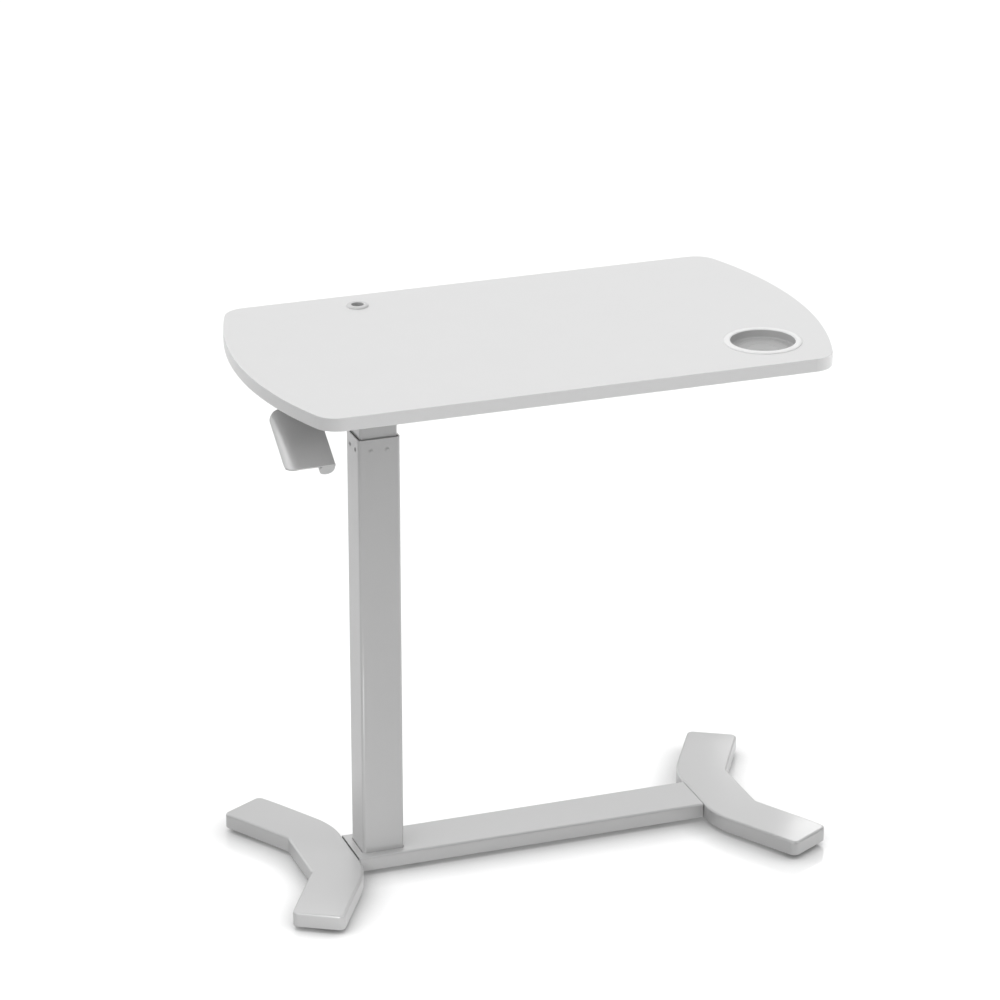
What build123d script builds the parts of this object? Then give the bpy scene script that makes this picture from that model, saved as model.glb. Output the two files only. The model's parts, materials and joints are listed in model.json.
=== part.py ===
from build123d import *
import math
import os

# Overbed table: one gas-spring column near one end of a beam, two chevron feet
# with concealed swivel casters, and a worktop that overhangs the beam.
# Millimetres, +Z up, +X along the beam, origin on the floor under the worktop's centre.

# ---- driving dimensions ----
TOP_LENGTH, TOP_DEPTH, TOP_THICK = 700.0, 400.0, 16.0
TOP_HEIGHT = 661.0
TOP_END_RADIUS, TOP_CORNER_RADIUS, TOP_EDGE_ROUND = 500.0, 30.0, 0.8
STROKE = 360.0

COLUMN_X = -190.0
OUTER_X, OUTER_Y, OUTER_ROUND, TUBE_WALL = 52.0, 47.0, 4.0, 1.5
OUTER_BOTTOM, OUTER_TOP = 14.0, 560.0
INNER_X, INNER_Y, INNER_ROUND = 46.6, 41.6, 3.2
INNER_BOTTOM, INNER_TOP = 60.0, 603.0
BUSH_BOTTOM, BUSH_TOP, BUSH_CLEAR = 518.0, 557.0, 0.35
RIVET_Z, RIVET_SPREAD = 545.0, 10.0

GROUND_GAP = 6.0
BEAM_END, BEAM_WIDTH, BEAM_TOP, BEAM_WALL = 225.0, 70.0, 24.6, 2.0
JOINT_BOTTOM, JOINT_TOP = 8.0, 14.0
JOINT_FOOT_END, COLUMN_PLATE_END, JOINT_PLATE_START = 286.0, -130.0, 150.0

FOOT_FACE_X = 226.0
FOOT_WIDTH, FOOT_BEND_Y, FOOT_ARM, FOOT_ANGLE = 64.0, 56.7, 118.0, 30.0
FOOT_TOP, FOOT_WALL, FOOT_ROOF = 25.2, 2.0, 22.2
FOOT_BEND_ROUND, FOOT_INNER_ROUND, FOOT_TIP_ROUND = 105.0, 12.0, 8.0
DROOP_LENGTH, DROOP_DROP = 40.0, 1.2
FRAME_BOTTOM, FRAME_WIDTH, FRAME_ARM = 19.6, 54.0, 111.0

CASTER_ALONG, CASTER_TRAIL = 92.0, 9.0
WHEEL_R, WHEEL_WIDTH, AXLE_R = 8.2, 12.0, 1.5
FORK_TOP, FORK_PLATE_BOTTOM, FORK_SHEET = 19.1, 17.7, 1.4
KING_PIN_R, RUNNING = 3.0, 0.05

SPRING_R, SPRING_BORE, SPRING_TOP, SPRING_BOTTOM = 11.0, 9.6, 505.0, 20.0
ROD_R, ROD_TOP, PIN_R, PIN_TOP = 4.0, 613.0, 1.5, 618.5
PISTON_LONG = 18.0
PISTON_Z = SPRING_TOP - 35.0 - PISTON_LONG - STROKE

BRACKET_PLATE_BOTTOM = 641.0
TOP_UNDER = TOP_HEIGHT - TOP_THICK
PLATE_X, PLATE_Y = 190.0, 140.0
RAIL_START, RAIL_END, RAIL_Y = -318.0, 190.0, 92.0
RAIL_FLANGE, RAIL_WEB, RAIL_HIGH, RAIL_SHEET = 11.0, 20.0, 15.0, 1.5
HEAD_X, HEAD_SHEET, HEAD_FRONT, HEAD_BACK = 60.0, 3.0, -32.0, 24.0
PIVOT_Y, PIVOT_Z, SHAFT_R = -20.0, 621.3, 4.0
LEVER_TILT, BARREL_R, BARREL_X = 33.6, 9.0, -280.5
LEVER_REACH, PADDLE_LEFT, PADDLE_LONG, PADDLE_THICK = 104.0, -330.0, 87.0, 2.4
PADDLE_CORNER, ROLL_WIDE, ROLL_BEND, SHOULDER_ROUND = 13.5, 20.0, 30.0, 1.2

CUP_X, CUP_Y, CUP_FLANGE_R, CUP_BORE_R, CUP_RISE = 253.0, -121.0, 46.4, 38.4, 1.8
CUP_FLOOR, CUP_WALL = 651.6, 2.0
GROMMET_X, GROMMET_Y, GROMMET_FLANGE_R, GROMMET_BORE_R = -156.0, 160.0, 13.2, 7.4
GROMMET_RISE = 2.6

CORNERS = {"rear_left": (-1, 1), "rear_right": (1, 1), "front_left": (-1, -1), "front_right": (1, -1)}
CASTER_HEADING = {"rear_left": 160.0, "rear_right": 35.0, "front_left": -70.0, "front_right": -120.0}

parts = {}


# ---- small helpers ----
def at(x, y, z):
    return Pos(x, y, z)


def disc(x, y, bottom, top, radius):
    return at(x, y, bottom) * extrude(Circle(radius), top - bottom)


def block(x_low, x_high, y_low, y_high, bottom, top):
    centre = at((x_low + x_high) / 2, (y_low + y_high) / 2, (bottom + top) / 2)
    return centre * Box(x_high - x_low, y_high - y_low, top - bottom)


def rounded_bar(x, y, bottom, top, size_x, size_y, radius):
    return at(x, y, bottom) * extrude(RectangleRounded(size_x, size_y, radius), top - bottom)


def tube(x, y, bottom, top, size_x, size_y, radius, wall):
    outside = rounded_bar(x, y, bottom, top, size_x, size_y, radius)
    inside = rounded_bar(x, y, bottom - 1, top + 1, size_x - 2 * wall, size_y - 2 * wall, radius - wall)
    return outside - inside


def hexagon(x, y, bottom, top, across_flats, bore):
    nut = at(x, y, bottom) * extrude(RegularPolygon(across_flats / 2, 6, major_radius=False), top - bottom)
    return nut - disc(x, y, bottom - 1, top + 1, bore)


def edges_at(shape, height):
    return [e for e in shape.edges()
            if abs(e.center().Z - height) < 0.01 and e.bounding_box().size.Z < 0.01]


def button_screw(x, y, seat, tip, head_r, head_high, shank_r, socket_r):
    """A screw driven upwards: its domed head hangs below the seat."""
    head = disc(x, y, seat - head_high, seat, head_r)
    head = fillet(edges_at(head, seat - head_high), head_high * 0.55)
    head -= at(x, y, seat - head_high - 1) * extrude(
        RegularPolygon(socket_r, 6, major_radius=False), 1 + head_high * 0.5)
    return head + disc(x, y, seat - 0.2, tip, shank_r)


# ---- worktop ----
def worktop_profile():
    half_depth = TOP_DEPTH / 2
    end_x = TOP_LENGTH / 2
    corner_x = end_x - (TOP_END_RADIUS - math.sqrt(TOP_END_RADIUS**2 - half_depth**2))
    right, left = (end_x, 0), (-end_x, 0)
    outline = [
        Line((-corner_x, -half_depth), (corner_x, -half_depth)),
        ThreePointArc((corner_x, -half_depth), right, (corner_x, half_depth)),
        Line((corner_x, half_depth), (-corner_x, half_depth)),
        ThreePointArc((-corner_x, half_depth), left, (-corner_x, -half_depth)),
    ]
    face = make_face(Curve() + outline)
    return fillet(face.vertices(), TOP_CORNER_RADIUS)


def tabletop():
    board = at(0, 0, TOP_UNDER) * extrude(worktop_profile(), TOP_THICK)
    rims = edges_at(board, TOP_HEIGHT) + edges_at(board, TOP_UNDER)
    board = fillet(rims, TOP_EDGE_ROUND)
    board -= disc(CUP_X, CUP_Y, TOP_UNDER - 1, TOP_HEIGHT + 1, CUP_BORE_R + CUP_WALL + 0.2)
    board -= disc(GROMMET_X, GROMMET_Y, TOP_UNDER - 1, TOP_HEIGHT + 1, GROMMET_BORE_R + 2.2)
    for x, y in top_screw_places():
        board -= disc(x, y, TOP_UNDER - 1, TOP_UNDER + 11.5, 1.9)
    return board


def cup_holder():
    flange = disc(CUP_X, CUP_Y, TOP_HEIGHT, TOP_HEIGHT + CUP_RISE, CUP_FLANGE_R)
    flange = fillet(edges_at(flange, TOP_HEIGHT + CUP_RISE), 1.2)
    well = disc(CUP_X, CUP_Y, CUP_FLOOR - CUP_WALL, TOP_HEIGHT + 0.5, CUP_BORE_R + CUP_WALL)
    well = fillet(edges_at(well, CUP_FLOOR - CUP_WALL), 1.0)
    cup = flange + well - disc(CUP_X, CUP_Y, CUP_FLOOR, TOP_HEIGHT + 5, CUP_BORE_R)
    rim = [e for e in edges_at(cup, TOP_HEIGHT + CUP_RISE) if e.bounding_box().size.X < 2 * CUP_BORE_R + 1]
    return fillet(rim, 0.8)


def cable_grommet():
    flange = disc(GROMMET_X, GROMMET_Y, TOP_HEIGHT, TOP_HEIGHT + GROMMET_RISE, GROMMET_FLANGE_R)
    flange = fillet(edges_at(flange, TOP_HEIGHT + GROMMET_RISE), 1.2)
    sleeve = disc(GROMMET_X, GROMMET_Y, TOP_UNDER, TOP_HEIGHT + 0.5, GROMMET_BORE_R + 2.0)
    bore = disc(GROMMET_X, GROMMET_Y, TOP_UNDER - 1, TOP_HEIGHT + 9, GROMMET_BORE_R)
    return flange + sleeve - bore


# ---- support under the worktop ----
def plate_screw_places():
    return [(COLUMN_X + dx, dy) for dx in (-82, 82) for dy in (-58, 58)]


def rail_screw_places():
    xs = [RAIL_START + 14, (RAIL_START + RAIL_END) / 2, RAIL_END - 14]
    return [(x, side * (RAIL_Y + RAIL_WEB / 2 + RAIL_FLANGE / 2)) for x in xs for side in (-1, 1)]


def top_screw_places():
    return plate_screw_places() + rail_screw_places()


def top_plate():
    plate = rounded_bar(COLUMN_X, 0, BRACKET_PLATE_BOTTOM, TOP_UNDER, PLATE_X, PLATE_Y, 10)
    for x, y in plate_screw_places():
        plate -= disc(x, y, BRACKET_PLATE_BOTTOM - 1, TOP_UNDER + 1, 2.3)
    return plate


def support_rail(side):
    """A hat-section stiffener under the worktop, open upwards, with flanges screwed to it."""
    bottom = TOP_UNDER - RAIL_HIGH
    y = side * RAIL_Y
    flange = RAIL_WEB / 2 + RAIL_FLANGE
    rail = block(RAIL_START, RAIL_END, y - RAIL_WEB / 2, y + RAIL_WEB / 2, bottom, TOP_UNDER)
    rail -= block(RAIL_START - 1, RAIL_END + 1, y - RAIL_WEB / 2 + RAIL_SHEET,
                  y + RAIL_WEB / 2 - RAIL_SHEET, bottom + RAIL_SHEET, TOP_UNDER + 1)
    for low, high in ((y - flange, y - RAIL_WEB / 2), (y + RAIL_WEB / 2, y + flange)):
        rail += block(RAIL_START, RAIL_END, low, high, TOP_UNDER - RAIL_SHEET, TOP_UNDER)
    for x, screw_y in rail_screw_places():
        rail -= disc(x, screw_y, TOP_UNDER - 3, TOP_UNDER + 1, 2.3)
    return rail


def top_screws():
    plate = [button_screw(x, y, BRACKET_PLATE_BOTTOM, TOP_UNDER + 11, 4.2, 2.4, 1.85, 1.3)
             for x, y in plate_screw_places()]
    rails = [button_screw(x, y, TOP_UNDER - RAIL_SHEET, TOP_UNDER + 11, 4.2, 2.4, 1.85, 1.3)
             for x, y in rail_screw_places()]
    return plate + rails


def head_bracket():
    """U-shaped steel head welded on the inner tube: it carries the lever shaft and the spring rod."""
    left, right = COLUMN_X - HEAD_X / 2, COLUMN_X + HEAD_X / 2
    head = block(left, right, HEAD_FRONT, HEAD_BACK, INNER_TOP, BRACKET_PLATE_BOTTOM)
    head -= block(left + HEAD_SHEET, right - HEAD_SHEET, HEAD_FRONT - 1, HEAD_BACK + 1,
                  INNER_TOP + HEAD_SHEET, BRACKET_PLATE_BOTTOM + 1)
    head -= disc(COLUMN_X, 0, INNER_TOP - 1, INNER_TOP + 5, ROD_R + 0.1)
    shaft = Pos(left - 1, PIVOT_Y, PIVOT_Z) * Rot(0, 90, 0) * extrude(Circle(SHAFT_R + RUNNING), HEAD_X + 2)
    return head - shaft


# ---- column ----
def outer_column():
    column = tube(COLUMN_X, 0, OUTER_BOTTOM, OUTER_TOP, OUTER_X, OUTER_Y, OUTER_ROUND, TUBE_WALL)
    for place in rivet_places():
        column -= place * extrude(Circle(1.75), 2.5, both=True)
    return column


def inner_column():
    return tube(COLUMN_X, 0, INNER_BOTTOM, INNER_TOP, INNER_X, INNER_Y, INNER_ROUND, TUBE_WALL)


def upper_guide_bush():
    size_x, size_y = OUTER_X - 2 * TUBE_WALL - 0.1, OUTER_Y - 2 * TUBE_WALL - 0.1
    bush = rounded_bar(COLUMN_X, 0, BUSH_BOTTOM, BUSH_TOP, size_x, size_y, OUTER_ROUND - TUBE_WALL)
    bush -= rounded_bar(COLUMN_X, 0, BUSH_BOTTOM - 1, BUSH_TOP + 1, INNER_X + 2 * BUSH_CLEAR,
                        INNER_Y + 2 * BUSH_CLEAR, INNER_ROUND)
    for place in rivet_places():
        bush -= place * extrude(Circle(1.75), 2.5, both=True)
    return bush


def rivet_places():
    """Two fixings on each of the four faces, each place looking outwards along its local +Z."""
    places = []
    for offset in (-RIVET_SPREAD, RIVET_SPREAD):
        for side in (-1, 1):
            places.append(Pos(COLUMN_X + offset, side * OUTER_Y / 2, RIVET_Z) * Rot(-90 * side, 0, 0))
            places.append(Pos(COLUMN_X + side * OUTER_X / 2, offset, RIVET_Z) * Rot(0, 90 * side, 0))
    return places


def column_rivets():
    rivets = []
    for place in rivet_places():
        ring = extrude(Circle(3.3), 0.45)
        dome = fillet(edges_at(extrude(Circle(2.3), 1.1), 1.1), 0.8)
        shank = Pos(0, 0, -2.2) * extrude(Circle(1.7), 2.4)
        rivets.append(place * (ring + dome + shank))
    return rivets


def lower_glide():
    """Plastic block plugged into the inner tube's lower end; its collar slides in the outer tube."""
    collar = rounded_bar(COLUMN_X, 0, INNER_BOTTOM - 8, INNER_BOTTOM, OUTER_X - 2 * TUBE_WALL - 0.6,
                         OUTER_Y - 2 * TUBE_WALL - 0.6, OUTER_ROUND - TUBE_WALL)
    plug = rounded_bar(COLUMN_X, 0, INNER_BOTTOM, INNER_BOTTOM + 26, INNER_X - 2 * TUBE_WALL - 0.1,
                       INNER_Y - 2 * TUBE_WALL - 0.1, INNER_ROUND - TUBE_WALL)
    return collar + plug - disc(COLUMN_X, 0, INNER_BOTTOM - 9, INNER_BOTTOM + 27, SPRING_R + 1.2)


# ---- gas spring ----
def gas_cylinder():
    body = disc(COLUMN_X, 0, SPRING_BOTTOM, SPRING_TOP, SPRING_R)
    body -= disc(COLUMN_X, 0, SPRING_BOTTOM + 8, SPRING_TOP + 1, SPRING_BORE)
    return body + disc(COLUMN_X, 0, 9.0, SPRING_BOTTOM + 1, ROD_R - 0.05)


def gas_rod_guide():
    guide = disc(COLUMN_X, 0, SPRING_TOP - 14, SPRING_TOP, SPRING_BORE)
    guide += disc(COLUMN_X, 0, SPRING_TOP, SPRING_TOP + 3, SPRING_R)
    return guide - disc(COLUMN_X, 0, SPRING_TOP - 15, SPRING_TOP + 4, ROD_R + RUNNING)


def gas_rod():
    rod = disc(COLUMN_X, 0, PISTON_Z - 4, ROD_TOP, ROD_R)
    return rod - disc(COLUMN_X, 0, PIN_TOP - 70, ROD_TOP + 1, PIN_R + RUNNING)


def gas_piston():
    piston = disc(COLUMN_X, 0, PISTON_Z, PISTON_Z + PISTON_LONG, SPRING_BORE - 0.08)
    groove = disc(COLUMN_X, 0, PISTON_Z + 7, PISTON_Z + 11, SPRING_BORE + 1)
    piston -= groove - disc(COLUMN_X, 0, PISTON_Z + 6, PISTON_Z + 12, SPRING_BORE - 1.6)
    return piston - disc(COLUMN_X, 0, PISTON_Z - 1, PISTON_Z + PISTON_LONG + 1, ROD_R)


def gas_rod_nuts():
    under = hexagon(COLUMN_X, 0, INNER_TOP - 5, INNER_TOP, 13, ROD_R)
    over = hexagon(COLUMN_X, 0, INNER_TOP + HEAD_SHEET, INNER_TOP + HEAD_SHEET + 5, 13, ROD_R)
    return [under, over]


def release_pin():
    pin = disc(COLUMN_X, 0, PIN_TOP - 60, PIN_TOP, PIN_R)
    return fillet(edges_at(pin, PIN_TOP), 0.7)


# ---- release lever ----
def tilted(along, across_x, rise):
    """A place on the lever: along its barrel from the pivot, with local +Z towards the free end."""
    tilt = math.radians(LEVER_TILT)
    y = PIVOT_Y - along * math.cos(tilt) - rise * math.sin(tilt)
    z = PIVOT_Z - along * math.sin(tilt) + rise * math.cos(tilt)
    return Pos(across_x, y, z) * Rot(90 + LEVER_TILT, 0, 0)


def lever_shaft():
    start = BARREL_X - 4
    length = COLUMN_X + HEAD_X / 2 + 5 - start
    return Pos(start, PIVOT_Y, PIVOT_Z) * Rot(0, 90, 0) * extrude(Circle(SHAFT_R), length)


def shaft_clips():
    """Retaining rings that hold the shaft endways against the head bracket's two cheeks."""
    clips = []
    for x in (COLUMN_X - HEAD_X / 2 - 1.4, COLUMN_X + HEAD_X / 2 + 0.4):
        ring = extrude(Circle(6.5) - Circle(SHAFT_R), 1.0)
        ring -= Pos(0, 5.5, 0) * extrude(Rectangle(5, 5), 2.5, both=True)
        clips.append(Pos(x, PIVOT_Y, PIVOT_Z) * Rot(0, 90, 0) * ring)
    return clips


def lever_cam():
    """Finger keyed to the shaft: it presses the spring's release pin when the paddle is lifted."""
    hub = Pos(COLUMN_X - 6, PIVOT_Y, PIVOT_Z) * Rot(0, 90, 0) * extrude(Circle(7), 12)
    finger = block(COLUMN_X - 6, COLUMN_X + 6, PIVOT_Y, 5.0, 619.0, 624.5)
    cam = hub + finger
    return cam - Pos(COLUMN_X - 7, PIVOT_Y, PIVOT_Z) * Rot(0, 90, 0) * extrude(Circle(SHAFT_R), 14)


def paddle_sheet():
    """Thin blade on top of the barrel, with its outer side edge rolled gently downwards."""
    right = BARREL_X + BARREL_R
    width = right - PADDLE_LEFT
    turn = ROLL_WIDE / ROLL_BEND
    start = ROLL_BEND * math.sin(turn) - width
    tip = (-width, -ROLL_BEND * (1 - math.cos(turn)))
    inner_tip = (tip[0] + PADDLE_THICK * math.sin(turn), tip[1] - PADDLE_THICK * math.cos(turn))
    section = make_face(Curve() + [
        Line((0, 0), (start, 0)),
        CenterArc((start, -ROLL_BEND), ROLL_BEND, 90, math.degrees(turn)),
        Line(tip, inner_tip),
        CenterArc((start, -ROLL_BEND), ROLL_BEND - PADDLE_THICK, 90, math.degrees(turn)),
        Line((start, -PADDLE_THICK), (0, -PADDLE_THICK)),
        Line((0, -PADDLE_THICK), (0, 0)),
    ])
    blade = extrude(section, PADDLE_LONG)
    flat = Pos(-width / 2, 0, PADDLE_LONG / 2) * Rot(90, 0, 0)
    outline = flat * RectangleRounded(width, PADDLE_LONG, PADDLE_CORNER)
    right_half = flat * Pos(width / 4, 0) * Rectangle(width / 2, PADDLE_LONG)
    shoulder_round = flat * Pos(width / 2, 0) * Rectangle(2 * SHOULDER_ROUND, PADDLE_LONG)
    trim = extrude(outline + right_half - shoulder_round, 20, both=True)
    return tilted(LEVER_REACH - PADDLE_LONG, right, BARREL_R) * (blade & trim)


def barrel_shoulder():
    """Squares off the barrel's outer upper quarter, so that it runs flush into the blade."""
    quarter = Pos(BARREL_R / 2, BARREL_R / 2) * Rectangle(BARREL_R, BARREL_R)
    corner = fillet(quarter.vertices().sort_by(Axis((0, 0, 0), (1, 1, 0)))[-1:], SHOULDER_ROUND)
    return tilted(LEVER_REACH - PADDLE_LONG, BARREL_X, 0) * extrude(corner, PADDLE_LONG)


def release_paddle():
    barrel = tilted(-9, BARREL_X, 0) * extrude(Circle(BARREL_R), LEVER_REACH + 9)
    paddle = barrel + paddle_sheet() + barrel_shoulder()
    shaft = Pos(BARREL_X - 4, PIVOT_Y, PIVOT_Z) * Rot(0, 90, 0) * extrude(Circle(SHAFT_R), 40)
    return paddle - shaft


# ---- base ----
def long_edges_at(shape, height):
    return [e for e in edges_at(shape, height) if e.bounding_box().size.X > BEAM_END]


def beam_tube():
    beam = block(-BEAM_END, BEAM_END, -BEAM_WIDTH / 2, BEAM_WIDTH / 2, GROUND_GAP, BEAM_TOP)
    beam = fillet(long_edges_at(beam, BEAM_TOP), 3.0)
    beam = fillet(long_edges_at(beam, GROUND_GAP), 1.5)
    inner_y = BEAM_WIDTH / 2 - BEAM_WALL
    beam -= block(-BEAM_END - 1, BEAM_END + 1, -inner_y, inner_y,
                  GROUND_GAP + BEAM_WALL, BEAM_TOP - BEAM_WALL)
    beam -= rounded_bar(COLUMN_X, 0, BEAM_TOP - 5, BEAM_TOP + 1,
                        OUTER_X + 1.6, OUTER_Y + 1.0, OUTER_ROUND + 0.6)
    for x, y in beam_bolt_places():
        beam -= disc(x, y, GROUND_GAP - 1, GROUND_GAP + 4, 3.2)
    return beam


def beam_bolt_places():
    places = [(x, y) for x in (-205.0, -148.0) for y in (-18.0, 18.0)]
    return places + [(168.0, y) for y in (-18.0, 18.0)]


def foot_bolt_places(side):
    return [(side * 262.0, y) for y in (-16.0, 16.0)]


def joint_plate(x_low, x_high, side):
    plate = block(x_low, x_high, -28, 28, JOINT_BOTTOM, JOINT_TOP)
    for x, y in beam_bolt_places() + foot_bolt_places(side):
        if x_low < x < x_high:
            plate -= disc(x, y, JOINT_BOTTOM - 1, JOINT_TOP + 1, 3.1)
    return plate


def column_base_plate():
    plate = joint_plate(-JOINT_FOOT_END, COLUMN_PLATE_END, -1)
    return plate - disc(COLUMN_X, 0, JOINT_BOTTOM - 1, JOINT_TOP + 1, ROD_R)


def joint_spacer(side):
    low, high = sorted((side * 236.0, side * 286.0))
    spacer = block(low, high, -25, 25, JOINT_TOP, FRAME_BOTTOM)
    for x, y in foot_bolt_places(side):
        spacer -= disc(x, y, JOINT_TOP - 1, FRAME_BOTTOM + 1, 3.1)
    return spacer


def beam_bolts():
    return [button_screw(x, y, GROUND_GAP, JOINT_TOP - 0.3, 4.8, 2.6, 3.0, 2.0)
            for x, y in beam_bolt_places()]


def foot_bolts():
    places = foot_bolt_places(-1) + foot_bolt_places(1)
    return [button_screw(x, y, JOINT_BOTTOM, FOOT_ROOF - 0.2, 4.8, 2.6, 3.0, 2.0) for x, y in places]


# ---- feet ----
def foot_point(along, across, end):
    """A point on one arm: along it from the bend, across it away from the beam. end is +1 or -1 in Y."""
    angle = math.radians(FOOT_ANGLE)
    x = FOOT_FACE_X + FOOT_WIDTH / 2 + along * math.sin(angle) + across * math.cos(angle)
    y = FOOT_BEND_Y + along * math.cos(angle) - across * math.sin(angle)
    return x, end * y


def foot_outline(width, arm, bend_round, inner_round, tip_round):
    centre_x = FOOT_FACE_X + FOOT_WIDTH / 2
    shift = width / 2 * math.tan(math.radians(FOOT_ANGLE / 2))
    beam_side = (centre_x - width / 2, FOOT_BEND_Y + shift)
    far_side = (centre_x + width / 2, FOOT_BEND_Y - shift)
    points = [
        beam_side, foot_point(arm, -width / 2, 1), foot_point(arm, width / 2, 1), far_side,
        (far_side[0], -far_side[1]), foot_point(arm, width / 2, -1), foot_point(arm, -width / 2, -1),
        (beam_side[0], -beam_side[1]),
    ]
    rounds = [bend_round, tip_round, tip_round, inner_round, inner_round, tip_round, tip_round, bend_round]
    return make_face(FilletPolyline(*points, radius=rounds, close=True))


def droop_cut(end):
    """What lies above an arm's gently drooping tip."""
    start = FOOT_ARM - DROOP_LENGTH
    radius = DROOP_LENGTH**2 / (2 * DROOP_DROP)
    turn = -end * FOOT_ANGLE if end > 0 else 180 + FOOT_ANGLE
    x, y = foot_point(start, 0, end)
    frame = Pos(x, y, FOOT_TOP) * Rot(0, 0, turn)
    slab = Pos(0, DROOP_LENGTH, 2) * Box(FOOT_WIDTH * 2, DROOP_LENGTH * 2, 10)
    roll = Pos(-FOOT_WIDTH * 1.5, 0, -radius) * Rot(0, 90, 0) * extrude(Circle(radius), FOOT_WIDTH * 3)
    return frame * (slab - roll)


def foot_cover(side):
    outline = foot_outline(FOOT_WIDTH, FOOT_ARM, FOOT_BEND_ROUND, FOOT_INNER_ROUND, FOOT_TIP_ROUND)
    cover = Pos(0, 0, GROUND_GAP) * extrude(outline, FOOT_TOP - GROUND_GAP)
    for end in (-1, 1):
        cover -= droop_cut(end)
    crown = [e for e in cover.edges() if e.bounding_box().min.Z > FOOT_TOP - DROOP_DROP - 0.6
             and not is_across_arm(e)]
    cover = fillet(crown, 3.0)
    cover = fillet(edges_at(cover, GROUND_GAP), 0.8)
    wall = FOOT_WALL
    cavity = foot_outline(FOOT_WIDTH - 2 * wall, FOOT_ARM - wall, FOOT_BEND_ROUND - wall,
                          FOOT_INNER_ROUND + wall, FOOT_TIP_ROUND - wall)
    cover -= Pos(0, 0, GROUND_GAP - 1) * extrude(cavity, FOOT_ROOF - GROUND_GAP + 1)
    cover -= block(FOOT_FACE_X - 1, FOOT_FACE_X + 4, -29, 29, GROUND_GAP - 1, JOINT_TOP + 1)
    for x, y in cover_screw_places():
        cover -= disc(x, y, FOOT_ROOF - 1, FOOT_ROOF + 2.0, 1.9)
    return cover if side > 0 else mirror(cover, Plane.YZ)


def is_across_arm(edge):
    """True for the faint line where the flat top turns into the droop."""
    start_x, start_y = foot_point(FOOT_ARM - DROOP_LENGTH, 0, 1)
    middle = edge.center()
    return abs(middle.X - start_x) < 2 and abs(abs(middle.Y) - start_y) < 2


def cover_screw_places():
    return [foot_point(46.0, 0, end) for end in (-1, 1)]


def caster_place(corner):
    side, end = CORNERS[corner]
    x, y = foot_point(CASTER_ALONG, 0, end)
    return side * x, y


def foot_frame(side):
    outline = foot_outline(FRAME_WIDTH, FRAME_ARM, FOOT_BEND_ROUND - 5, FOOT_INNER_ROUND + 5, 6)
    frame = Pos(0, 0, FRAME_BOTTOM) * extrude(outline, FOOT_ROOF - FRAME_BOTTOM)
    for x, y in foot_bolt_places(1):
        frame -= disc(x, y, FRAME_BOTTOM - 1, FOOT_ROOF + 1, 3.1)
    for x, y in cover_screw_places():
        frame -= disc(x, y, FRAME_BOTTOM - 1, FOOT_ROOF + 1, 2.1)
    for end in (-1, 1):
        x, y = foot_point(CASTER_ALONG, 0, end)
        frame -= disc(x, y, FRAME_BOTTOM - 1, FOOT_ROOF + 1, KING_PIN_R)
        frame -= disc(x, y, FOOT_ROOF - 1.2, FOOT_ROOF + 1, 5.5)
    return frame if side > 0 else mirror(frame, Plane.YZ)


def cover_screws():
    screws = []
    for side in (-1, 1):
        for x, y in cover_screw_places():
            screws.append(button_screw(side * x, y, FRAME_BOTTOM, FOOT_ROOF + 1.9, 3.6, 1.8, 1.85, 1.2))
    return screws


# ---- casters ----
def caster_king_pins():
    pins = []
    for corner in CORNERS:
        x, y = caster_place(corner)
        pin = disc(x, y, FORK_PLATE_BOTTOM - 0.9, FOOT_ROOF - 0.1, KING_PIN_R)
        pin += disc(x, y, FOOT_ROOF - 1.2, FOOT_ROOF - 0.1, 5.4)
        pin += disc(x, y, FORK_PLATE_BOTTOM - 1.1, FORK_PLATE_BOTTOM - 0.1, 4.4)
        pins.append(pin)
    return pins


def caster_washers():
    washers = []
    for corner in CORNERS:
        x, y = caster_place(corner)
        ring = disc(x, y, FORK_TOP + 0.05, FRAME_BOTTOM, 10.5)
        washers.append(ring - disc(x, y, FORK_TOP - 1, FRAME_BOTTOM + 1, KING_PIN_R))
    return washers


def caster_frame(corner):
    x, y = caster_place(corner)
    return Pos(x, y, 0) * Rot(0, 0, CASTER_HEADING[corner])


def caster_fork(corner):
    half = WHEEL_WIDTH / 2 + 0.5 + FORK_SHEET
    bridge = Pos(CASTER_TRAIL / 2 + 0.5, 0) * Rectangle(CASTER_TRAIL + 5, 2 * half)
    fork = Pos(0, 0, FORK_PLATE_BOTTOM) * extrude(Circle(10) + bridge, FORK_TOP - FORK_PLATE_BOTTOM)
    for side in (-1, 1):
        low, high = sorted((side * half, side * (half - FORK_SHEET)))
        leg = block(CASTER_TRAIL - 5.5, CASTER_TRAIL + 3, low, high, WHEEL_R, FORK_PLATE_BOTTOM + 0.5)
        foot = Pos(CASTER_TRAIL, low, WHEEL_R) * Rot(-90, 0, 0) * extrude(Circle(3.2), FORK_SHEET)
        fork += leg + foot
    fork -= disc(0, 0, FORK_PLATE_BOTTOM - 1, FORK_TOP + 1, KING_PIN_R + RUNNING)
    fork -= Pos(CASTER_TRAIL, -20, WHEEL_R) * Rot(-90, 0, 0) * extrude(Circle(AXLE_R), 40)
    return caster_frame(corner) * fork


def caster_axle(corner):
    half = WHEEL_WIDTH / 2 + 0.5 + FORK_SHEET + 0.4
    axle = Pos(CASTER_TRAIL, -half, WHEEL_R) * Rot(-90, 0, 0) * extrude(Circle(AXLE_R), 2 * half)
    return caster_frame(corner) * axle


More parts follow.
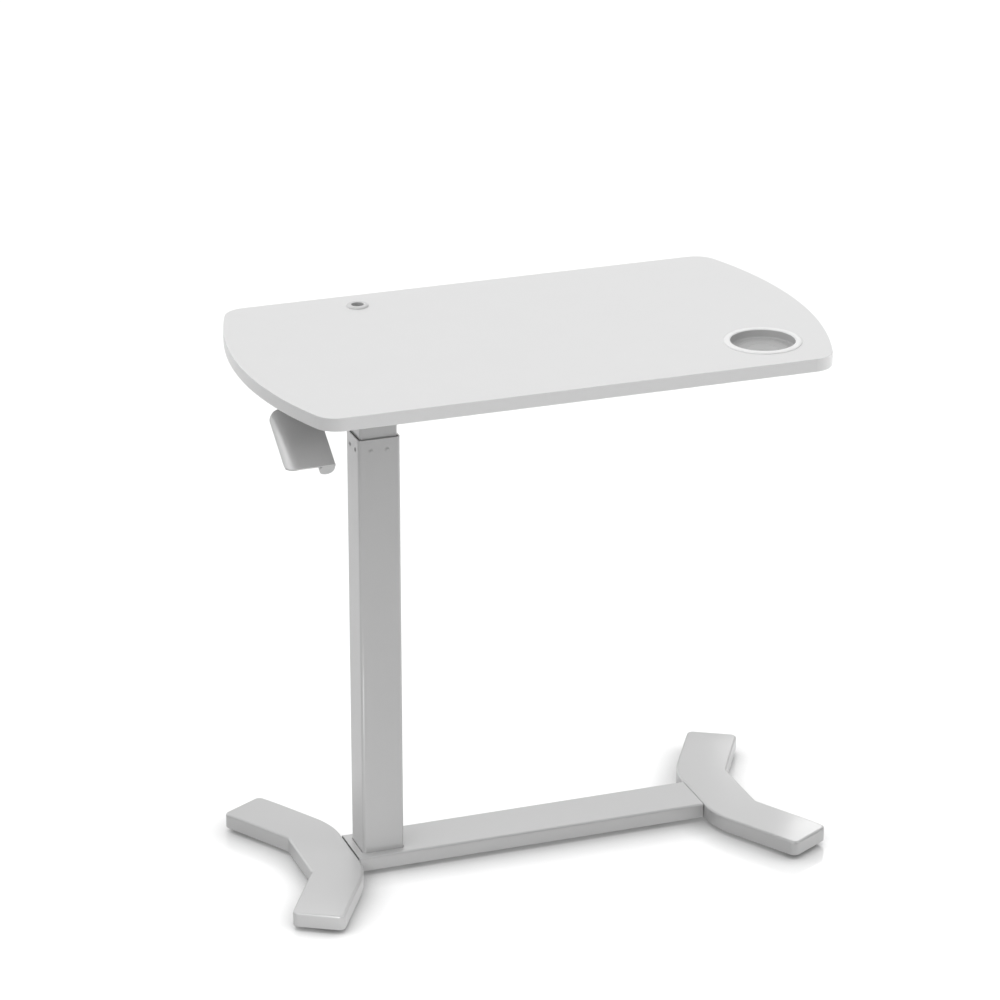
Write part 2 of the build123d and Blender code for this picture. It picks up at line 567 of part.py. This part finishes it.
def caster_wheel(corner):
    wheel = Pos(0, 0, -WHEEL_WIDTH / 2) * extrude(Circle(WHEEL_R), WHEEL_WIDTH)
    wheel = fillet(wheel.edges(), 1.6)
    for face in (-1, 1):
        dish = extrude(Circle(WHEEL_R - 2.6) - Circle(AXLE_R + 1.6), 1.2)
        wheel -= Pos(0, 0, WHEEL_WIDTH / 2 - 1.2 if face > 0 else -WHEEL_WIDTH / 2) * dish
    wheel -= Pos(0, 0, -WHEEL_WIDTH) * extrude(Circle(AXLE_R + RUNNING), 2 * WHEEL_WIDTH)
    return caster_frame(corner) * Pos(CASTER_TRAIL, 0, WHEEL_R) * Rot(-90, 0, 0) * wheel


# ---- assembly ----
def build_worktop():
    parts["tabletop"] = tabletop()
    parts["cup_holder"] = cup_holder()
    parts["cable_grommet"] = cable_grommet()
    parts["top_plate"] = top_plate()
    parts["support_rail_front"] = support_rail(-1)
    parts["support_rail_rear"] = support_rail(1)
    parts["top_screws"] = top_screws()


def build_column():
    parts["outer_column"] = outer_column()
    parts["upper_guide_bush"] = upper_guide_bush()
    parts["column_rivets"] = column_rivets()
    parts["inner_column"] = inner_column()
    parts["lower_glide"] = lower_glide()
    parts["head_bracket"] = head_bracket()
    parts["gas_cylinder"] = gas_cylinder()
    parts["gas_rod_guide"] = gas_rod_guide()
    parts["gas_jam_nut"] = hexagon(COLUMN_X, 0, JOINT_TOP, SPRING_BOTTOM, 13, ROD_R)
    parts["gas_rod"] = gas_rod()
    parts["gas_piston"] = gas_piston()
    parts["gas_rod_nuts"] = gas_rod_nuts()
    parts["release_pin"] = release_pin()


def build_lever():
    parts["release_paddle"] = release_paddle()
    parts["lever_shaft"] = lever_shaft()
    parts["lever_cam"] = lever_cam()
    parts["shaft_clips"] = shaft_clips()


def build_base():
    parts["beam_tube"] = beam_tube()
    parts["column_base_plate"] = column_base_plate()
    parts["right_joint_plate"] = joint_plate(JOINT_PLATE_START, JOINT_FOOT_END, 1)
    parts["beam_bolts"] = beam_bolts()
    parts["foot_bolts"] = foot_bolts()
    for name, side in (("left", -1), ("right", 1)):
        parts[f"{name}_foot_cover"] = foot_cover(side)
        parts[f"{name}_foot_frame"] = foot_frame(side)
        parts[f"{name}_joint_spacer"] = joint_spacer(side)
    parts["cover_screws"] = cover_screws()


def build_casters():
    parts["caster_king_pins"] = caster_king_pins()
    parts["caster_washers"] = caster_washers()
    for corner in CORNERS:
        parts[f"caster_fork_{corner}"] = caster_fork(corner)
        parts[f"caster_axle_{corner}"] = caster_axle(corner)
        parts[f"caster_wheel_{corner}"] = caster_wheel(corner)


build_worktop()
build_column()
build_lever()
build_base()
build_casters()

os.makedirs("parts", exist_ok=True)
for node, shape in parts.items():
    solids = shape if isinstance(shape, list) else [shape]
    export_step(Compound(children=[s for item in solids for s in item.solids()]), f"parts/{node}.step")
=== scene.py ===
import json
import math

import bpy
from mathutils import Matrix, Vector


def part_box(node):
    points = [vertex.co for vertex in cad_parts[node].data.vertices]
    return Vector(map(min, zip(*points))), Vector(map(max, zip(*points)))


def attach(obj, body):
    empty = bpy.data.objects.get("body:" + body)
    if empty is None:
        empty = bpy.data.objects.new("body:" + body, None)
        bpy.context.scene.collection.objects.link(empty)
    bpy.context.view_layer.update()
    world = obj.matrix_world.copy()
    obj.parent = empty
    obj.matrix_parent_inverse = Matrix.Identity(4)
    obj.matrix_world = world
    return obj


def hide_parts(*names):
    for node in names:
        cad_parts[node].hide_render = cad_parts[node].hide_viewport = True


# An overbed table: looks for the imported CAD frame. Metres, +Z up, the frame's own axes.
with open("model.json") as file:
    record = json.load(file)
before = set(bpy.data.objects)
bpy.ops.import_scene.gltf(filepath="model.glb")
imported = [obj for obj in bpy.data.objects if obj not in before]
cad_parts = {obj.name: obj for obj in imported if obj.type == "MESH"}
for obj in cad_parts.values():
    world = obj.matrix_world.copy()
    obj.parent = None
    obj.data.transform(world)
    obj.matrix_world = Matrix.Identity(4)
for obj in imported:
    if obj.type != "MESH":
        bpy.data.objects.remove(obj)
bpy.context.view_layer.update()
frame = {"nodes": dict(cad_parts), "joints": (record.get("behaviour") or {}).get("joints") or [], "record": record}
NODES = frame["nodes"]
MM = 0.001


# ---------------------------------------------------------------- materials
class Shade:
    """A small builder for one procedural material."""

    def __init__(self, name, colour, roughness, metallic=0.0, specular=0.5):
        self.material = bpy.data.materials.new(name)
        self.material.use_nodes = True
        self.tree = self.material.node_tree
        self.shader = self.tree.nodes["Principled BSDF"]
        self.place = self.add("ShaderNodeTexCoord").outputs["Object"]
        self.bumped = None
        self.shader.inputs["Base Color"].default_value = (*colour, 1.0)
        self.shader.inputs["Roughness"].default_value = roughness
        self.shader.inputs["Metallic"].default_value = metallic
        self.shader.inputs["Specular IOR Level"].default_value = specular

    def add(self, kind, settings=None, **inputs):
        """A node of a kind. An input is given by its name, or as i0, i1 and so on by its place."""
        node = self.tree.nodes.new(kind)
        for key, value in (settings or {}).items():
            setattr(node, key, value)
        for key, value in inputs.items():
            numbered = key.startswith("i") and key[1:].isdigit()
            socket = node.inputs[int(key[1:]) if numbered else key]
            if isinstance(value, bpy.types.NodeSocket):
                self.tree.links.new(value, socket)
            else:
                socket.default_value = value
        return node

    def scaled(self, x, y, z):
        mapping = self.add("ShaderNodeMapping", Vector=self.place)
        mapping.inputs["Scale"].default_value = (x, y, z)
        return mapping.outputs["Vector"]

    def noise(self, per_metre, detail=2.0, roughness=0.5, stretch=(1, 1, 1)):
        vector = self.scaled(*stretch) if stretch != (1, 1, 1) else self.place
        node = self.add("ShaderNodeTexNoise",
                        Vector=vector, Scale=per_metre, Detail=detail, Roughness=roughness)
        return node.outputs["Fac"]

    def cells(self, per_metre, randomness=1.0):
        node = self.add("ShaderNodeTexVoronoi", Vector=self.place, Scale=per_metre, Randomness=randomness)
        return node.outputs["Distance"]

    def remap(self, value, low, high, to_low, to_high):
        node = self.add("ShaderNodeMapRange", i0=value, i1=low, i2=high, i3=to_low, i4=to_high)
        return node.outputs["Result"]

    def maths(self, operation, a, b=0.0):
        return self.add("ShaderNodeMath", {"operation": operation}, i0=a, i1=b).outputs[0]

    def edge(self, radius, samples=4):
        """1 near a sharp edge, 0 on flat ground."""
        bevel = self.add("ShaderNodeBevel", {"samples": samples}, Radius=radius)
        geometry = self.add("ShaderNodeNewGeometry")
        dot = self.add("ShaderNodeVectorMath", {"operation": "DOT_PRODUCT"},
                       i0=bevel.outputs["Normal"], i1=geometry.outputs["Normal"])
        return self.remap(dot.outputs["Value"], 0.98, 0.80, 0.0, 1.0)

    def colour_mix(self, factor, first, second):
        node = self.add("ShaderNodeMix", {"data_type": "RGBA"})
        for socket, value in ((node.inputs[0], factor), (node.inputs[6], first), (node.inputs[7], second)):
            if isinstance(value, bpy.types.NodeSocket):
                self.tree.links.new(value, socket)
            elif isinstance(value, tuple):
                socket.default_value = (*value, 1.0)
            else:
                socket.default_value = value
        return node.outputs[2]

    def set_colour(self, output):
        self.tree.links.new(output, self.shader.inputs["Base Color"])

    def set_roughness(self, output):
        self.tree.links.new(output, self.shader.inputs["Roughness"])

    def bump(self, height, depth, strength=1.0):
        node = self.add("ShaderNodeBump", Height=height, Distance=depth, Strength=strength)
        if self.bumped is not None:
            self.tree.links.new(self.bumped, node.inputs["Normal"])
        self.bumped = node.outputs["Normal"]
        self.tree.links.new(self.bumped, self.shader.inputs["Normal"])


def grey(value):
    return (value, value, value)


def powder_coat(name, tone, roughness, grain_depth, flake=0.0):
    """Satin powder coat: orange peel, cloudy gloss, and edges lightened in colour, partly as rubbed wear and
    partly as a painted edge highlight.
    """
    shade = Shade(name, grey(tone), roughness, metallic=flake, specular=0.6)
    peel = shade.noise(420.0, detail=1.0)
    cloud = shade.noise(14.0, detail=4.0, roughness=0.6)
    # Edges are lightened in colour: partly rubbed wear, partly a painted highlight along the edge.
    rub_and_painted_highlight = shade.maths("MULTIPLY", shade.edge(1.2 * MM), shade.remap(shade.noise(180.0), 0.42, 0.62, 0.0, 1.0))
    base = shade.colour_mix(cloud, grey(tone * 0.975), grey(tone * 1.025))
    worn_and_highlight_tone = grey(min(1.0, tone * 1.22))
    shade.set_colour(shade.colour_mix(shade.maths("MULTIPLY", rub_and_painted_highlight, 0.35), base, worn_and_highlight_tone))
    shade.set_roughness(shade.remap(cloud, 0.3, 0.7, roughness - 0.02, roughness + 0.03))
    shade.bump(peel, grain_depth)
    return shade.material


def laminate(name, tone):
    """Melamine-faced board with its upright edge faces painted lighter as painted light: a semi-gloss skin,
    faintly hazy and not quite flat.
    """
    shade = Shade(name, grey(tone), 0.3, specular=0.5)
    wave = shade.noise(22.0, detail=1.0)
    haze = shade.noise(48.0, detail=2.0, roughness=0.5)
    face = shade.colour_mix(wave, grey(tone * 0.992), grey(tone * 1.008))
    normal = shade.add("ShaderNodeNewGeometry").outputs["True Normal"]
    split = shade.add("ShaderNodeSeparateXYZ", Vector=normal)
    # Upright faces are given a lighter colour: painted light on the board's edges.
    upright_painted_light = shade.maths("LESS_THAN", shade.maths("ABSOLUTE", split.outputs["Z"]), 0.5)
    shade.set_colour(shade.colour_mix(upright_painted_light, face, grey(tone * 1.09)))
    shade.set_roughness(shade.remap(haze, 0.3, 0.7, 0.28, 0.31))
    shade.bump(wave, 0.02 * MM)
    return shade.material


def moulded_plastic(name, tone, roughness, grain=0.02 * MM):
    """Injection-moulded plastic with a spark-eroded grain and faint flow marks."""
    shade = Shade(name, grey(tone), roughness, specular=0.45)
    spark = shade.noise(1900.0, detail=3.0, roughness=0.7)
    flow = shade.noise(60.0, detail=2.0, stretch=(1, 1, 4))
    shade.set_colour(shade.colour_mix(flow, grey(tone * 0.97), grey(min(1.0, tone * 1.02))))
    shade.set_roughness(shade.remap(spark, 0.35, 0.65, roughness - 0.06, roughness + 0.08))
    shade.bump(spark, grain)
    return shade.material


def zinc_plate(name, tone, roughness):
    """Bright zinc plating: crystalline patches, fine tool marks and dull handling haze."""
    shade = Shade(name, (tone, tone, tone * 1.01), roughness, metallic=1.0)
    spangle = shade.cells(700.0)
    tool = shade.noise(1500.0, detail=2.0, stretch=(1, 1, 6))
    haze = shade.noise(90.0, detail=4.0)
    patch = shade.remap(spangle, 0.0, 0.8, 0.0, 1.0)
    shade.set_colour(shade.colour_mix(patch, grey(tone * 0.9), grey(tone * 1.06)))
    shade.set_roughness(shade.remap(haze, 0.3, 0.7, roughness - 0.07, roughness + 0.14))
    shade.bump(tool, 0.01 * MM)
    return shade.material


def hard_chrome(name):
    """Ground and chromed rod: faint rings round it and a hint of oil."""
    shade = Shade(name, (0.78, 0.79, 0.80), 0.1, metallic=1.0)
    rings = shade.noise(30.0, detail=2.0, stretch=(1, 1, 130))
    oil = shade.noise(35.0, detail=3.0)
    shade.set_roughness(shade.remap(oil, 0.35, 0.65, 0.07, 0.2))
    shade.bump(rings, 0.004 * MM)
    return shade.material


def wheel_rubber(name):
    """Grey-black tread rubber with pores and a little floor dust."""
    shade = Shade(name, grey(0.045), 0.7, specular=0.3)
    pores = shade.noise(1300.0, detail=3.0)
    dust = shade.noise(230.0, detail=5.0, roughness=0.7)
    shade.set_colour(shade.colour_mix(shade.remap(dust, 0.5, 0.72, 0.0, 0.5), grey(0.04), grey(0.13)))
    shade.set_roughness(shade.remap(dust, 0.3, 0.7, 0.6, 0.85))
    shade.bump(pores, 0.03 * MM)
    return shade.material


MATERIALS = {
    "top_laminate": laminate("white_laminate", 0.70),
    "silver_paint": powder_coat("frame_powder_coat", 0.51, 0.30, 0.006 * MM, flake=0.33),
    "white_plastic": moulded_plastic("white_moulding", 0.82, 0.32),
    "grey_plastic": moulded_plastic("grommet_moulding", 0.62, 0.4),
    "bracket_paint": powder_coat("bracket_powder_coat", 0.42, 0.42, 0.015 * MM, flake=0.2),
    "fixings": zinc_plate("zinc_fixings", 0.62, 0.32),
    "black_plastic": moulded_plastic("black_nylon", 0.035, 0.48, 0.03 * MM),
    "spring_black": powder_coat("gas_spring_black", 0.03, 0.28, 0.010 * MM),
    "chrome_rod": hard_chrome("hard_chrome"),
    "caster_steel": zinc_plate("zinc_pressing", 0.58, 0.36),
    "wheel_rubber": wheel_rubber("tread_rubber"),
}
# The cup's well and the grommet's bore are left matt, and painted greyer than their polished rims as painted shade
# in the recesses.
CUP_WELL_PAINTED_SHADE = moulded_plastic("white_moulding_matt_painted_shade", 0.42, 0.5)
GROMMET_BORE_PAINTED_SHADE = moulded_plastic("grommet_moulding_matt_painted_shade", 0.38, 0.55)
SLOT_OF = {row["node"]: row["material_slot"] for row in frame["record"]["subparts"]}


def dress_cad_nodes():
    for name, node in NODES.items():
        node.data.materials.clear()
        node.data.materials.append(MATERIALS[SLOT_OF[name]])


dress_cad_nodes()


# ---------------------------------------------------------------- mesh helpers
def piece(name, vertices, faces, body, slot, stands_for=()):
    """A closed mesh as a new piece that rides on a CAD body."""
    mesh = bpy.data.meshes.new(name)
    mesh.from_pydata([tuple(v) for v in vertices], [], faces)
    mesh.materials.append(MATERIALS[slot])
    mesh.shade_smooth()
    mesh.set_sharp_from_angle(angle=math.radians(35))
    mesh.update()
    made = bpy.data.objects.new(name, mesh)
    bpy.context.scene.collection.objects.link(made)
    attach(made, body)
    if stands_for:
        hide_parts(*stands_for)
    return made


def turned(profile, centre, axis=(0, 0, 1), around=96):
    """Vertices and faces of a profile of (radius, height) turned about an axis through centre.
    A profile that starts and ends on the axis closes there; any other is closed into a ring."""
    turn = Vector(axis).normalized().to_track_quat("Z", "Y").to_matrix()
    centre = Vector(centre)
    solid = profile[0][0] == 0.0
    rings = profile[1:-1] if solid else profile
    vertices, faces = [], []
    for radius, height in rings:
        for step in range(around):
            angle = 2 * math.pi * step / around
            spoke = Vector((radius * math.cos(angle), radius * math.sin(angle), height))
            vertices.append(centre + turn @ spoke)
    pairs = zip(range(len(rings) - 1), range(1, len(rings)))
    if not solid:
        pairs = [*pairs, (len(rings) - 1, 0)]
    for low, high in pairs:
        low, high = low * around, high * around
        for step in range(around):
            after = (step + 1) % around
            faces.append((low + step, low + after, high + after, high + step))
    if solid:
        for ring, end, flip in ((0, profile[0], True), (len(rings) - 1, profile[-1], False)):
            tip = len(vertices)
            vertices.append(centre + turn @ Vector((0, 0, end[1])))
            for step in range(around):
                after = (step + 1) % around
                corner = (ring * around + step, ring * around + after)
                faces.append((tip, corner[1], corner[0]) if flip else (tip, corner[0], corner[1]))
    return vertices, faces


def arc(centre, radius, start, stop, steps=6):
    """Profile points on a circle, angles in degrees from the outward direction towards up."""
    points = []
    for step in range(steps + 1):
        angle = math.radians(start + (stop - start) * step / steps)
        points.append((centre[0] + radius * math.cos(angle), centre[1] + radius * math.sin(angle)))
    return points


def dress_inside(made, centre, radius, below, material):
    """Gives the faces of a turned piece that lie within a radius and below a height a second material."""
    made.data.materials.append(material)
    for face in made.data.polygons:
        out = math.hypot(face.center.x - centre.x, face.center.y - centre.y)
        if out < radius and face.center.z < below:
            face.material_index = 1


def middle_of(node):
    low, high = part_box(node)
    return (low + high) / 2, low, high


# ---------------------------------------------------------------- cup holder and grommet
def cup_holder():
    """Moulded insert: a domed rim, a drafted wall, a coved floor and a raised ring that keeps a cup dry."""
    centre, low, high = middle_of("cup_holder")
    board_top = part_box("tabletop")[1].z
    rim, bore, wall = (high.x - low.x) / 2, 38.4 * MM, 2.0 * MM
    floor = low.z + wall
    crown = high.z - board_top
    profile = [(0.0, low.z), (bore - 3 * MM, low.z)]
    profile += arc((bore + wall - 2.0 * MM, low.z + 2.0 * MM), 2.0 * MM, -80, 0, 5)
    profile += [(bore + wall, board_top), (rim - 0.25 * MM, board_top)]
    profile += [(rim, board_top + 0.25 * crown), (rim - 0.35 * MM, board_top + 0.52 * crown)]
    profile += [(rim - 1.1 * MM, board_top + 0.78 * crown), (rim - 2.2 * MM, board_top + 0.94 * crown)]
    profile += [(rim - 3.6 * MM, high.z), (bore + 2.6 * MM, high.z - 0.02 * MM)]
    profile += arc((bore + 1.5 * MM, high.z - 1.5 * MM), 1.5 * MM, 80, 180, 7)
    profile += [(bore - 0.25 * MM, floor + 3 * MM)]
    profile += arc((bore - 2.8 * MM, floor + 2.5 * MM), 2.5 * MM, 0, -90, 7)
    for radius in (30.0 * MM, 18.0 * MM):
        profile += [(radius + 0.9 * MM, floor), (radius + 0.5 * MM, floor + 0.35 * MM)]
        profile += [(radius - 0.5 * MM, floor + 0.35 * MM), (radius - 0.9 * MM, floor)]
    profile += [(4.0 * MM, floor), (3.2 * MM, floor - 0.3 * MM), (0.0, floor - 0.3 * MM)]
    vertices, faces = turned(profile, (centre.x, centre.y, 0), around=160)
    made = piece("cup_holder_moulding", vertices, faces, "lift", "white_plastic", ["cup_holder"])
    # The well's inner faces take the greyer material: painted shade.
    dress_inside(made, centre, bore, high.z - 1.6 * MM, CUP_WELL_PAINTED_SHADE)


def cable_grommet():
    """A domed ring on a short sleeve through the board."""
    centre, low, high = middle_of("cable_grommet")
    board_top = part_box("tabletop")[1].z
    rim, bore, sleeve = (high.x - low.x) / 2, 7.4 * MM, 9.4 * MM
    crown = high.z - board_top
    profile = [(sleeve, low.z), (sleeve, board_top), (rim - 0.3 * MM, board_top)]
    profile += [(rim, board_top + 0.2 * crown), (rim - 0.3 * MM, board_top + 0.55 * crown)]
    profile += [(rim - 1.2 * MM, board_top + 0.86 * crown), (rim - 2.4 * MM, high.z)]
    profile += arc((bore + 1.3 * MM, high.z - 1.3 * MM), 1.3 * MM, 90, 180, 6)
    profile += [(bore, board_top - 4 * MM), (bore + 0.3 * MM, low.z)]
    vertices, faces = turned(profile, (centre.x, centre.y, 0), around=96)
    made = piece("cable_grommet_moulding", vertices, faces, "lift", "grey_plastic", ["cable_grommet"])
    # The bore's inner faces take the greyer material: painted shade.
    dress_inside(made, centre, bore + 0.5 * MM, high.z - 0.8 * MM, GROMMET_BORE_PAINTED_SHADE)


# ---------------------------------------------------------------- weld beads
def weld_bead(name, path, radius, body, closed=True):
    """A rippled bead of weld metal laid along a path, painted over with the frame."""
    count, sides = len(path), 10
    vertices, faces = [], []
    for index, point in enumerate(path):
        ahead = path[(index + 1) % count] if closed or index < count - 1 else point
        behind = path[index - 1] if closed or index > 0 else point
        along = (ahead - behind).normalized()
        across = along.cross(Vector((0, 0, 1))).normalized()
        ripple = radius * (1.0 + 0.13 * math.sin(index * math.pi / 2.5))
        ripple *= 0.35 if not closed and index in (0, count - 1) else 1.0
        for side in range(sides):
            angle = 2 * math.pi * side / sides
            rise = Vector((0, 0, ripple * math.sin(angle)))
            vertices.append(point + across * (ripple * math.cos(angle)) + rise)
    for index in range(count if closed else count - 1):
        here, after = index * sides, (index + 1) % count * sides
        for side in range(sides):
            turn = (side + 1) % sides
            faces.append((here + side, here + turn, after + turn, after + side))
    if not closed:
        faces.append(tuple(range(sides)))
        faces.append(tuple(reversed(range((count - 1) * sides, count * sides))))
    piece(name, vertices, faces, body, "bracket_paint")


def rounded_loop(low, high, height, corner, spacing):
    """Points at an even spacing round a rounded rectangle at one height."""
    points = []
    for x, y, start in ((high.x, high.y, 0), (low.x, high.y, 90), (low.x, low.y, 180), (high.x, low.y, 270)):
        hub = Vector((x - math.copysign(corner, x - (low.x + high.x) / 2),
                      y - math.copysign(corner, y - (low.y + high.y) / 2), height))
        for step in range(5):
            angle = math.radians(start + 90 * step / 4)
            points.append(hub + Vector((corner * math.cos(angle), corner * math.sin(angle), 0)))
    even = []
    for first, second in zip(points, points[1:] + points[:1]):
        parts = max(1, round((second - first).length / spacing))
        even += [first.lerp(second, part / parts) for part in range(parts)]
    return even


def welds():
    """One bead round the inner tube under the head bracket, and one along each of the bracket's cheeks."""
    tube_low, tube_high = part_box("inner_column")
    head_low, head_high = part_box("head_bracket")
    round_tube = rounded_loop(tube_low, tube_high, tube_high.z - 0.5 * MM, 3.2 * MM, 0.5 * MM)
    weld_bead("weld_tube_to_head", round_tube, 1.3 * MM, "lift")
    inset, sunk, parts = 4 * MM, 0.6 * MM, 96
    for name, x in (("left", head_low.x), ("right", head_high.x)):
        start = Vector((x, head_low.y + inset, head_high.z - sunk))
        stop = Vector((x, head_high.y - inset, head_high.z - sunk))
        path = [start.lerp(stop, step / parts) for step in range(parts + 1)]
        weld_bead(f"weld_head_to_plate_{name}", path, 1.5 * MM, "lift", closed=False)


# ---------------------------------------------------------------- caster wheels
def caster_wheels():
    """A tyre on a nylon hub for each caster, turned about its own axle."""
    for joint in frame["joints"]:
        if not joint["name"].startswith("roll_"):
            continue
        corner = joint["name"][len("roll_"):]
        centre, axis = Vector(joint["pos_m"]), Vector(joint["axis"])
        tyre, hub, half, bore = centre.z, 5.6 * MM, 6.0 * MM, 1.55 * MM
        tread = [(hub, -half + 1.2 * MM), (tyre - 2.0 * MM, -half + 0.3 * MM)]
        tread += arc((tyre - 1.6 * MM, -half + 1.6 * MM), 1.6 * MM, -90, 0, 6)
        tread += [(tyre - 0.02 * MM, -0.2 * MM), (tyre, 0.0), (tyre - 0.02 * MM, 0.2 * MM)]
        tread += arc((tyre - 1.6 * MM, half - 1.6 * MM), 1.6 * MM, 0, 90, 6)
        tread += [(tyre - 2.0 * MM, half - 0.3 * MM), (hub, half - 1.2 * MM)]
        body = f"wheel_{corner}"
        vertices, faces = turned(tread, centre, axis, around=72)
        piece(f"caster_tyre_{corner}", vertices, faces, body, "wheel_rubber", [f"caster_wheel_{corner}"])
        core = [(bore, -half), (bore + 1.2 * MM, -half), (bore + 1.4 * MM, -half + 1.3 * MM)]
        core += [(hub - 0.6 * MM, -half + 1.5 * MM), (hub, -half + 1.2 * MM), (hub, half - 1.2 * MM)]
        core += [(hub - 0.6 * MM, half - 1.5 * MM), (bore + 1.4 * MM, half - 1.3 * MM)]
        core += [(bore + 1.2 * MM, half), (bore, half)]
        vertices, faces = turned(core, centre, axis, around=48)
        piece(f"caster_hub_{corner}", vertices, faces, body, "black_plastic")


cup_holder()
cable_grommet()
welds()
caster_wheels()


# ---------------------------------------------------------------- stage
def stage_floor():
    """A plain pale floor, lit from within just enough to read as white paper. Only the camera and gloss
    meet it: the object's soft light comes from all round, from below too."""
    mesh = bpy.data.meshes.new("floor")
    half = 30.0
    corners = [(-half, -half, 0), (half, -half, 0), (half, half, 0), (-half, half, 0)]
    mesh.from_pydata(corners, [], [(0, 1, 2, 3)])
    floor = bpy.data.objects.new("floor", mesh)
    bpy.context.scene.collection.objects.link(floor)
    shade = Shade("pale_floor", grey(0.90), 0.15, specular=0.4)
    # Anything that comes within a few centimetres of the paper darkens its colour and its glow: a painted contact
    # shadow.
    nearby = shade.add("ShaderNodeAmbientOcclusion", {"samples": 8}, Distance=40 * MM).outputs["AO"]
    painted_contact_shadow = shade.remap(nearby, 0.25, 1.0, 0.42, 1.0)
    shade.set_colour(shade.colour_mix(painted_contact_shadow, grey(0.0), grey(0.90)))
    glow = shade.colour_mix(painted_contact_shadow, grey(0.0), grey(1.0))
    shade.tree.links.new(glow, shade.shader.inputs["Emission Color"])
    shade.shader.inputs["Emission Strength"].default_value = 0.15
    mesh.materials.append(shade.material)
    floor.visible_diffuse = False
    floor.visible_shadow = False


# Broad lobes of studio light: (azimuth from +X in degrees, elevation, power of its cosine, strength).
# Each stays on its own side of the horizon. The one below it stands for light thrown up by a reflector.
LOBES = (
    (45, 35, 5, 1.20),
    (90, 35, 5, 0.50),
    (112, 6, 24, 1.60),
    (135, 35, 5, 0.85),
    (180, 35, 5, 0.20),
    (225, 35, 5, 1.78),
    (270, 35, 5, 0.10),
    (180, 62, 40, 2.2),
    (330, 40, 20, 2.9),
    (0, -50, 2, 2.7),
)
BACKDROP = 1.05


def studio_world():
    """Soft light from all round, as a sum of lobes; the camera itself sees a plain white backdrop."""
    world = bpy.data.worlds.new("studio")
    bpy.context.scene.world = world
    world.use_nodes = True
    world.cycles.sampling_method = "NONE"
    tree = world.node_tree

    def maths(operation, first, second):
        node = tree.nodes.new("ShaderNodeMath")
        node.operation = operation
        for socket, value in zip(node.inputs, (first, second)):
            if isinstance(value, bpy.types.NodeSocket):
                tree.links.new(value, socket)
            else:
                socket.default_value = value
        return node.outputs[0]

    direction = tree.nodes.new("ShaderNodeTexCoord").outputs["Generated"]
    split = tree.nodes.new("ShaderNodeSeparateXYZ")
    tree.links.new(direction, split.inputs[0])
    above = maths("GREATER_THAN", split.outputs["Z"], 0.0)
    below = maths("LESS_THAN", split.outputs["Z"], 0.0)
    total = 0.0
    for azimuth, elevation, power, strength in LOBES:
        a, e = math.radians(azimuth), math.radians(elevation)
        dot = tree.nodes.new("ShaderNodeVectorMath")
        dot.operation = "DOT_PRODUCT"
        tree.links.new(direction, dot.inputs[0])
        dot.inputs[1].default_value = (math.cos(a) * math.cos(e), math.sin(a) * math.cos(e), math.sin(e))
        lobe = maths("POWER", maths("MAXIMUM", dot.outputs["Value"], 0.0), power)
        lobe = maths("MULTIPLY", lobe, above if elevation > 0 else below)
        total = maths("ADD", maths("MULTIPLY", lobe, strength), total)
    seen = tree.nodes.new("ShaderNodeLightPath").outputs["Is Camera Ray"]
    lit = maths("MULTIPLY", total, maths("SUBTRACT", 1.0, seen))
    background = tree.nodes["Background"]
    background.inputs["Color"].default_value = (1, 1, 1, 1)
    tree.links.new(maths("ADD", lit, maths("MULTIPLY", seen, BACKDROP)), background.inputs["Strength"])


def small_lamp(name, place, watts):
    """A soft bulb that the camera doesn't see, for one corner of the object."""
    light = bpy.data.lights.new(name, "POINT")
    light.energy = watts
    light.shadow_soft_size = 40 * MM
    lamp = bpy.data.objects.new(name, light)
    lamp.location = place
    lamp.visible_camera = False
    bpy.context.scene.collection.objects.link(lamp)


def small_lamps():
    """Lifts three tips of the feet out of the worktop's shade."""
    left_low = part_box("left_foot_cover")[0]
    right_low, right_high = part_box("right_foot_cover")
    small_lamp("lamp_right_near_tip", (right_high.x + 0.095, right_low.y + 0.253, 0.157), 0.14)
    small_lamp("lamp_right_far_tip", (right_high.x + 0.07, right_high.y + 0.10, 0.12), 0.045)
    small_lamp("lamp_left_near_tip", (left_low.x, left_low.y - 0.11, 0.10), 0.33)


def camera():
    """A long lens, a little over five metres away and looking down by some 22 degrees."""
    data = bpy.data.cameras.new("camera")
    data.sensor_width = 36.0
    data.lens = 153.5
    data.clip_start, data.clip_end = 0.1, 200.0
    eye = bpy.data.objects.new("camera", data)
    bpy.context.scene.collection.objects.link(eye)
    eye.location = (-1.6364, -4.4601, 2.3356)
    eye.rotation_euler = (math.radians(68.34), 0.0, math.radians(-19.79))
    bpy.context.scene.camera = eye


stage_floor()
studio_world()
small_lamps()
camera()
bpy.context.scene.view_settings.view_transform = "Standard"
